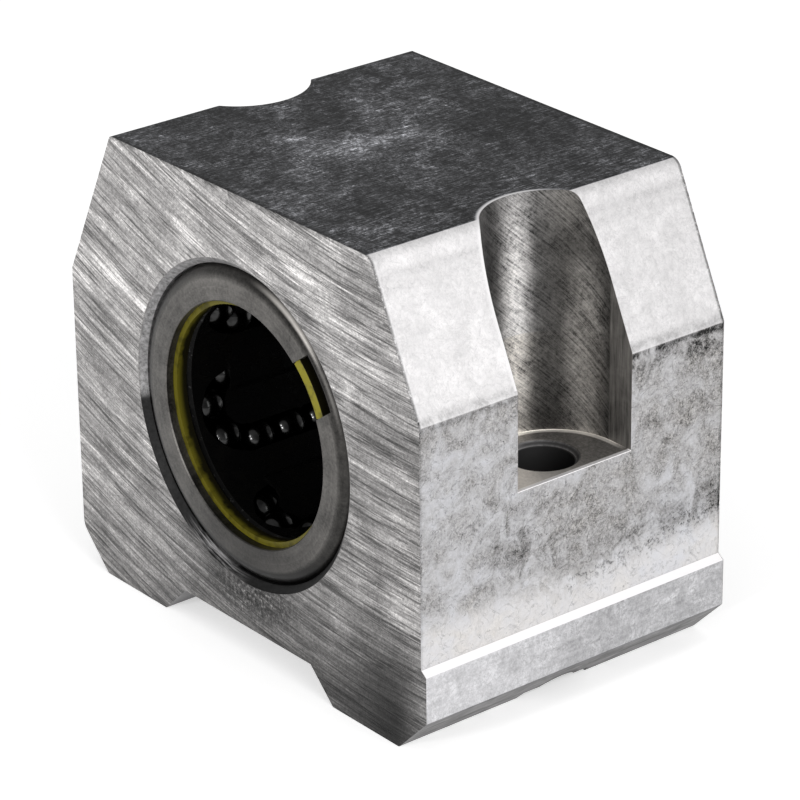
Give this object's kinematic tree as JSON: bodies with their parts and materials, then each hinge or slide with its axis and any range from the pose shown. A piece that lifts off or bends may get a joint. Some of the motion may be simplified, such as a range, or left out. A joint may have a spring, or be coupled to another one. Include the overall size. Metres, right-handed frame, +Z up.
{
  "type": "linear bearing unit",
  "caption": "Linear ball bearing for a round shaft, pressed into an aluminium block with open side pockets for its screws and a milled reference side.",
  "frame": {"origin": "middle of the mounting face, the underside of the block's two feet", "axes": "+Z up from the mounting face, the shaft lies along Y with the notched bearing end to -Y, and the milled reference side faces +X"},
  "size_m": [0.06, 0.041, 0.053],
  "materials": {
    "aluminium": "extruded and sawn, dull",
    "sleeve_steel": "hardened, satin",
    "cage_plastic": "moulded, oiled",
    "seal_yellow": "moulded, satin",
    "ball_steel": "polished, oiled"
  },
  "bodies": {
    "bearing_block": {"housing": "aluminium", "outer_sleeve": "sleeve_steel", "ball_cage": "cage_plastic", "front_seal": "seal_yellow", "rear_seal": "seal_yellow"},
    "loaded_row_1": {"loaded_balls_1": "ball_steel"},
    "return_row_1": {"return_balls_1": "ball_steel"},
    "front_turn_group_1": {"front_turn_balls_1": "ball_steel"},
    "rear_turn_group_1": {"rear_turn_balls_1": "ball_steel"},
    "loaded_row_2": {"loaded_balls_2": "ball_steel"},
    "return_row_2": {"return_balls_2": "ball_steel"},
    "front_turn_group_2": {"front_turn_balls_2": "ball_steel"},
    "rear_turn_group_2": {"rear_turn_balls_2": "ball_steel"},
    "loaded_row_3": {"loaded_balls_3": "ball_steel"},
    "return_row_3": {"return_balls_3": "ball_steel"},
    "front_turn_group_3": {"front_turn_balls_3": "ball_steel"},
    "rear_turn_group_3": {"rear_turn_balls_3": "ball_steel"},
    "loaded_row_4": {"loaded_balls_4": "ball_steel"},
    "return_row_4": {"return_balls_4": "ball_steel"},
    "front_turn_group_4": {"front_turn_balls_4": "ball_steel"},
    "rear_turn_group_4": {"rear_turn_balls_4": "ball_steel"},
    "loaded_row_5": {"loaded_balls_5": "ball_steel"},
    "return_row_5": {"return_balls_5": "ball_steel"},
    "front_turn_group_5": {"front_turn_balls_5": "ball_steel"},
    "rear_turn_group_5": {"rear_turn_balls_5": "ball_steel"},
    "loaded_row_6": {"loaded_balls_6": "ball_steel"},
    "return_row_6": {"return_balls_6": "ball_steel"},
    "front_turn_group_6": {"front_turn_balls_6": "ball_steel"},
    "rear_turn_group_6": {"rear_turn_balls_6": "ball_steel"}
  },
  "joints": [
    {"name": "loop_1_travel", "type": "slide", "parent": "bearing_block", "child": "loaded_row_1", "axis": [0, -1, 0], "range_m": [-0.00313, 0.0011]},
    {"name": "loop_1_return", "type": "slide", "parent": "bearing_block", "child": "return_row_1", "axis": [0, 1, 0], "range_m": [-0.00314, 0.0011]},
    {"name": "loop_1_front_turn", "type": "hinge", "parent": "bearing_block", "child": "front_turn_group_1", "pos_m": [-0.01327, -0.01093, 0.02222], "axis": [-0.9181, 0.1045, -0.3823], "range_deg": [-44.41, 15.61]},
    {"name": "loop_1_rear_turn", "type": "hinge", "parent": "bearing_block", "child": "rear_turn_group_1", "pos_m": [-0.01327, 0.01025, 0.02222], "axis": [-0.9181, -0.1045, -0.3823], "range_deg": [-44.41, 15.61]},
    {"name": "loop_2_travel", "type": "slide", "parent": "bearing_block", "child": "loaded_row_2", "axis": [0, -1, 0], "range_m": [-0.0003, 0.00394]},
    {"name": "loop_2_return", "type": "slide", "parent": "bearing_block", "child": "return_row_2", "axis": [0, 1, 0], "range_m": [-0.0003, 0.00394]},
    {"name": "loop_2_front_turn", "type": "hinge", "parent": "bearing_block", "child": "front_turn_group_2", "pos_m": [-0.01078, -0.01093, 0.0361], "axis": [-0.7902, 0.1045, 0.6039], "range_deg": [-4.21, 55.81]},
    {"name": "loop_2_rear_turn", "type": "hinge", "parent": "bearing_block", "child": "rear_turn_group_2", "pos_m": [-0.01078, 0.01025, 0.0361], "axis": [-0.7902, -0.1045, 0.6039], "range_deg": [-4.21, 55.81]},
    {"name": "loop_3_travel", "type": "slide", "parent": "bearing_block", "child": "loaded_row_3", "axis": [0, -1, 0], "range_m": [-0.00254, 0.00169]},
    {"name": "loop_3_return", "type": "slide", "parent": "bearing_block", "child": "return_row_3", "axis": [0, 1, 0], "range_m": [-0.00254, 0.00169]},
    {"name": "loop_3_front_turn", "type": "hinge", "parent": "bearing_block", "child": "front_turn_group_3", "pos_m": [0.0025, -0.01093, 0.04088], "axis": [0.1279, 0.1045, 0.9863], "range_deg": [-36.01, 24.01]},
    {"name": "loop_3_rear_turn", "type": "hinge", "parent": "bearing_block", "child": "rear_turn_group_3", "pos_m": [0.0025, 0.01025, 0.04088], "axis": [0.1279, -0.1045, 0.9863], "range_deg": [-36.01, 24.01]},
    {"name": "loop_4_travel", "type": "slide", "parent": "bearing_block", "child": "loaded_row_4", "axis": [0, -1, 0], "range_m": [-0.00064, 0.0036]},
    {"name": "loop_4_return", "type": "slide", "parent": "bearing_block", "child": "return_row_4", "axis": [0, 1, 0], "range_m": [-0.00064, 0.0036]},
    {"name": "loop_4_front_turn", "type": "hinge", "parent": "bearing_block", "child": "front_turn_group_4", "pos_m": [0.01327, -0.01093, 0.03178], "axis": [0.9181, 0.1045, 0.3823], "range_deg": [-9.01, 51.01]},
    {"name": "loop_4_rear_turn", "type": "hinge", "parent": "bearing_block", "child": "rear_turn_group_4", "pos_m": [0.01327, 0.01025, 0.03178], "axis": [0.9181, -0.1045, 0.3823], "range_deg": [-9.01, 51.01]},
    {"name": "loop_5_travel", "type": "slide", "parent": "bearing_block", "child": "loaded_row_5", "axis": [0, -1, 0], "range_m": [-0.00343, 0.00081]},
    {"name": "loop_5_return", "type": "slide", "parent": "bearing_block", "child": "return_row_5", "axis": [0, 1, 0], "range_m": [-0.00343, 0.00081]},
    {"name": "loop_5_front_turn", "type": "hinge", "parent": "bearing_block", "child": "front_turn_group_5", "pos_m": [0.01078, -0.01093, 0.0179], "axis": [0.7902, 0.1045, -0.6039], "range_deg": [-48.61, 11.41]},
    {"name": "loop_5_rear_turn", "type": "hinge", "parent": "bearing_block", "child": "rear_turn_group_5", "pos_m": [0.01078, 0.01025, 0.0179], "axis": [0.7902, -0.1045, -0.6039], "range_deg": [-48.61, 11.41]},
    {"name": "loop_6_travel", "type": "slide", "parent": "bearing_block", "child": "loaded_row_6", "axis": [0, -1, 0], "range_m": [-0.00119, 0.00305]},
    {"name": "loop_6_return", "type": "slide", "parent": "bearing_block", "child": "return_row_6", "axis": [0, 1, 0], "range_m": [-0.00119, 0.00305]},
    {"name": "loop_6_front_turn", "type": "hinge", "parent": "bearing_block", "child": "front_turn_group_6", "pos_m": [-0.0025, -0.01093, 0.01312], "axis": [-0.1279, 0.1045, -0.9863], "range_deg": [-16.81, 43.21]},
    {"name": "loop_6_rear_turn", "type": "hinge", "parent": "bearing_block", "child": "rear_turn_group_6", "pos_m": [-0.0025, 0.01025, 0.01312], "axis": [-0.1279, -0.1045, -0.9863], "range_deg": [-16.81, 43.21]}
  ],
  "couplings": [
    {"joint": "loop_1_return", "follows": "loop_1_travel", "ratio": 1},
    {"joint": "loop_1_front_turn", "follows": "loop_1_travel", "rad_per_m": 247.28},
    {"joint": "loop_1_rear_turn", "follows": "loop_1_travel", "rad_per_m": 247.28},
    {"joint": "loop_2_return", "follows": "loop_2_travel", "ratio": 1},
    {"joint": "loop_2_front_turn", "follows": "loop_2_travel", "rad_per_m": 247.28},
    {"joint": "loop_2_rear_turn", "follows": "loop_2_travel", "rad_per_m": 247.28},
    {"joint": "loop_3_return", "follows": "loop_3_travel", "ratio": 1},
    {"joint": "loop_3_front_turn", "follows": "loop_3_travel", "rad_per_m": 247.28},
    {"joint": "loop_3_rear_turn", "follows": "loop_3_travel", "rad_per_m": 247.28},
    {"joint": "loop_4_return", "follows": "loop_4_travel", "ratio": 1},
    {"joint": "loop_4_front_turn", "follows": "loop_4_travel", "rad_per_m": 247.28},
    {"joint": "loop_4_rear_turn", "follows": "loop_4_travel", "rad_per_m": 247.28},
    {"joint": "loop_5_return", "follows": "loop_5_travel", "ratio": 1},
    {"joint": "loop_5_front_turn", "follows": "loop_5_travel", "rad_per_m": 247.28},
    {"joint": "loop_5_rear_turn", "follows": "loop_5_travel", "rad_per_m": 247.28},
    {"joint": "loop_6_return", "follows": "loop_6_travel", "ratio": 1},
    {"joint": "loop_6_front_turn", "follows": "loop_6_travel", "rad_per_m": 247.28},
    {"joint": "loop_6_rear_turn", "follows": "loop_6_travel", "rad_per_m": 247.28}
  ]
}
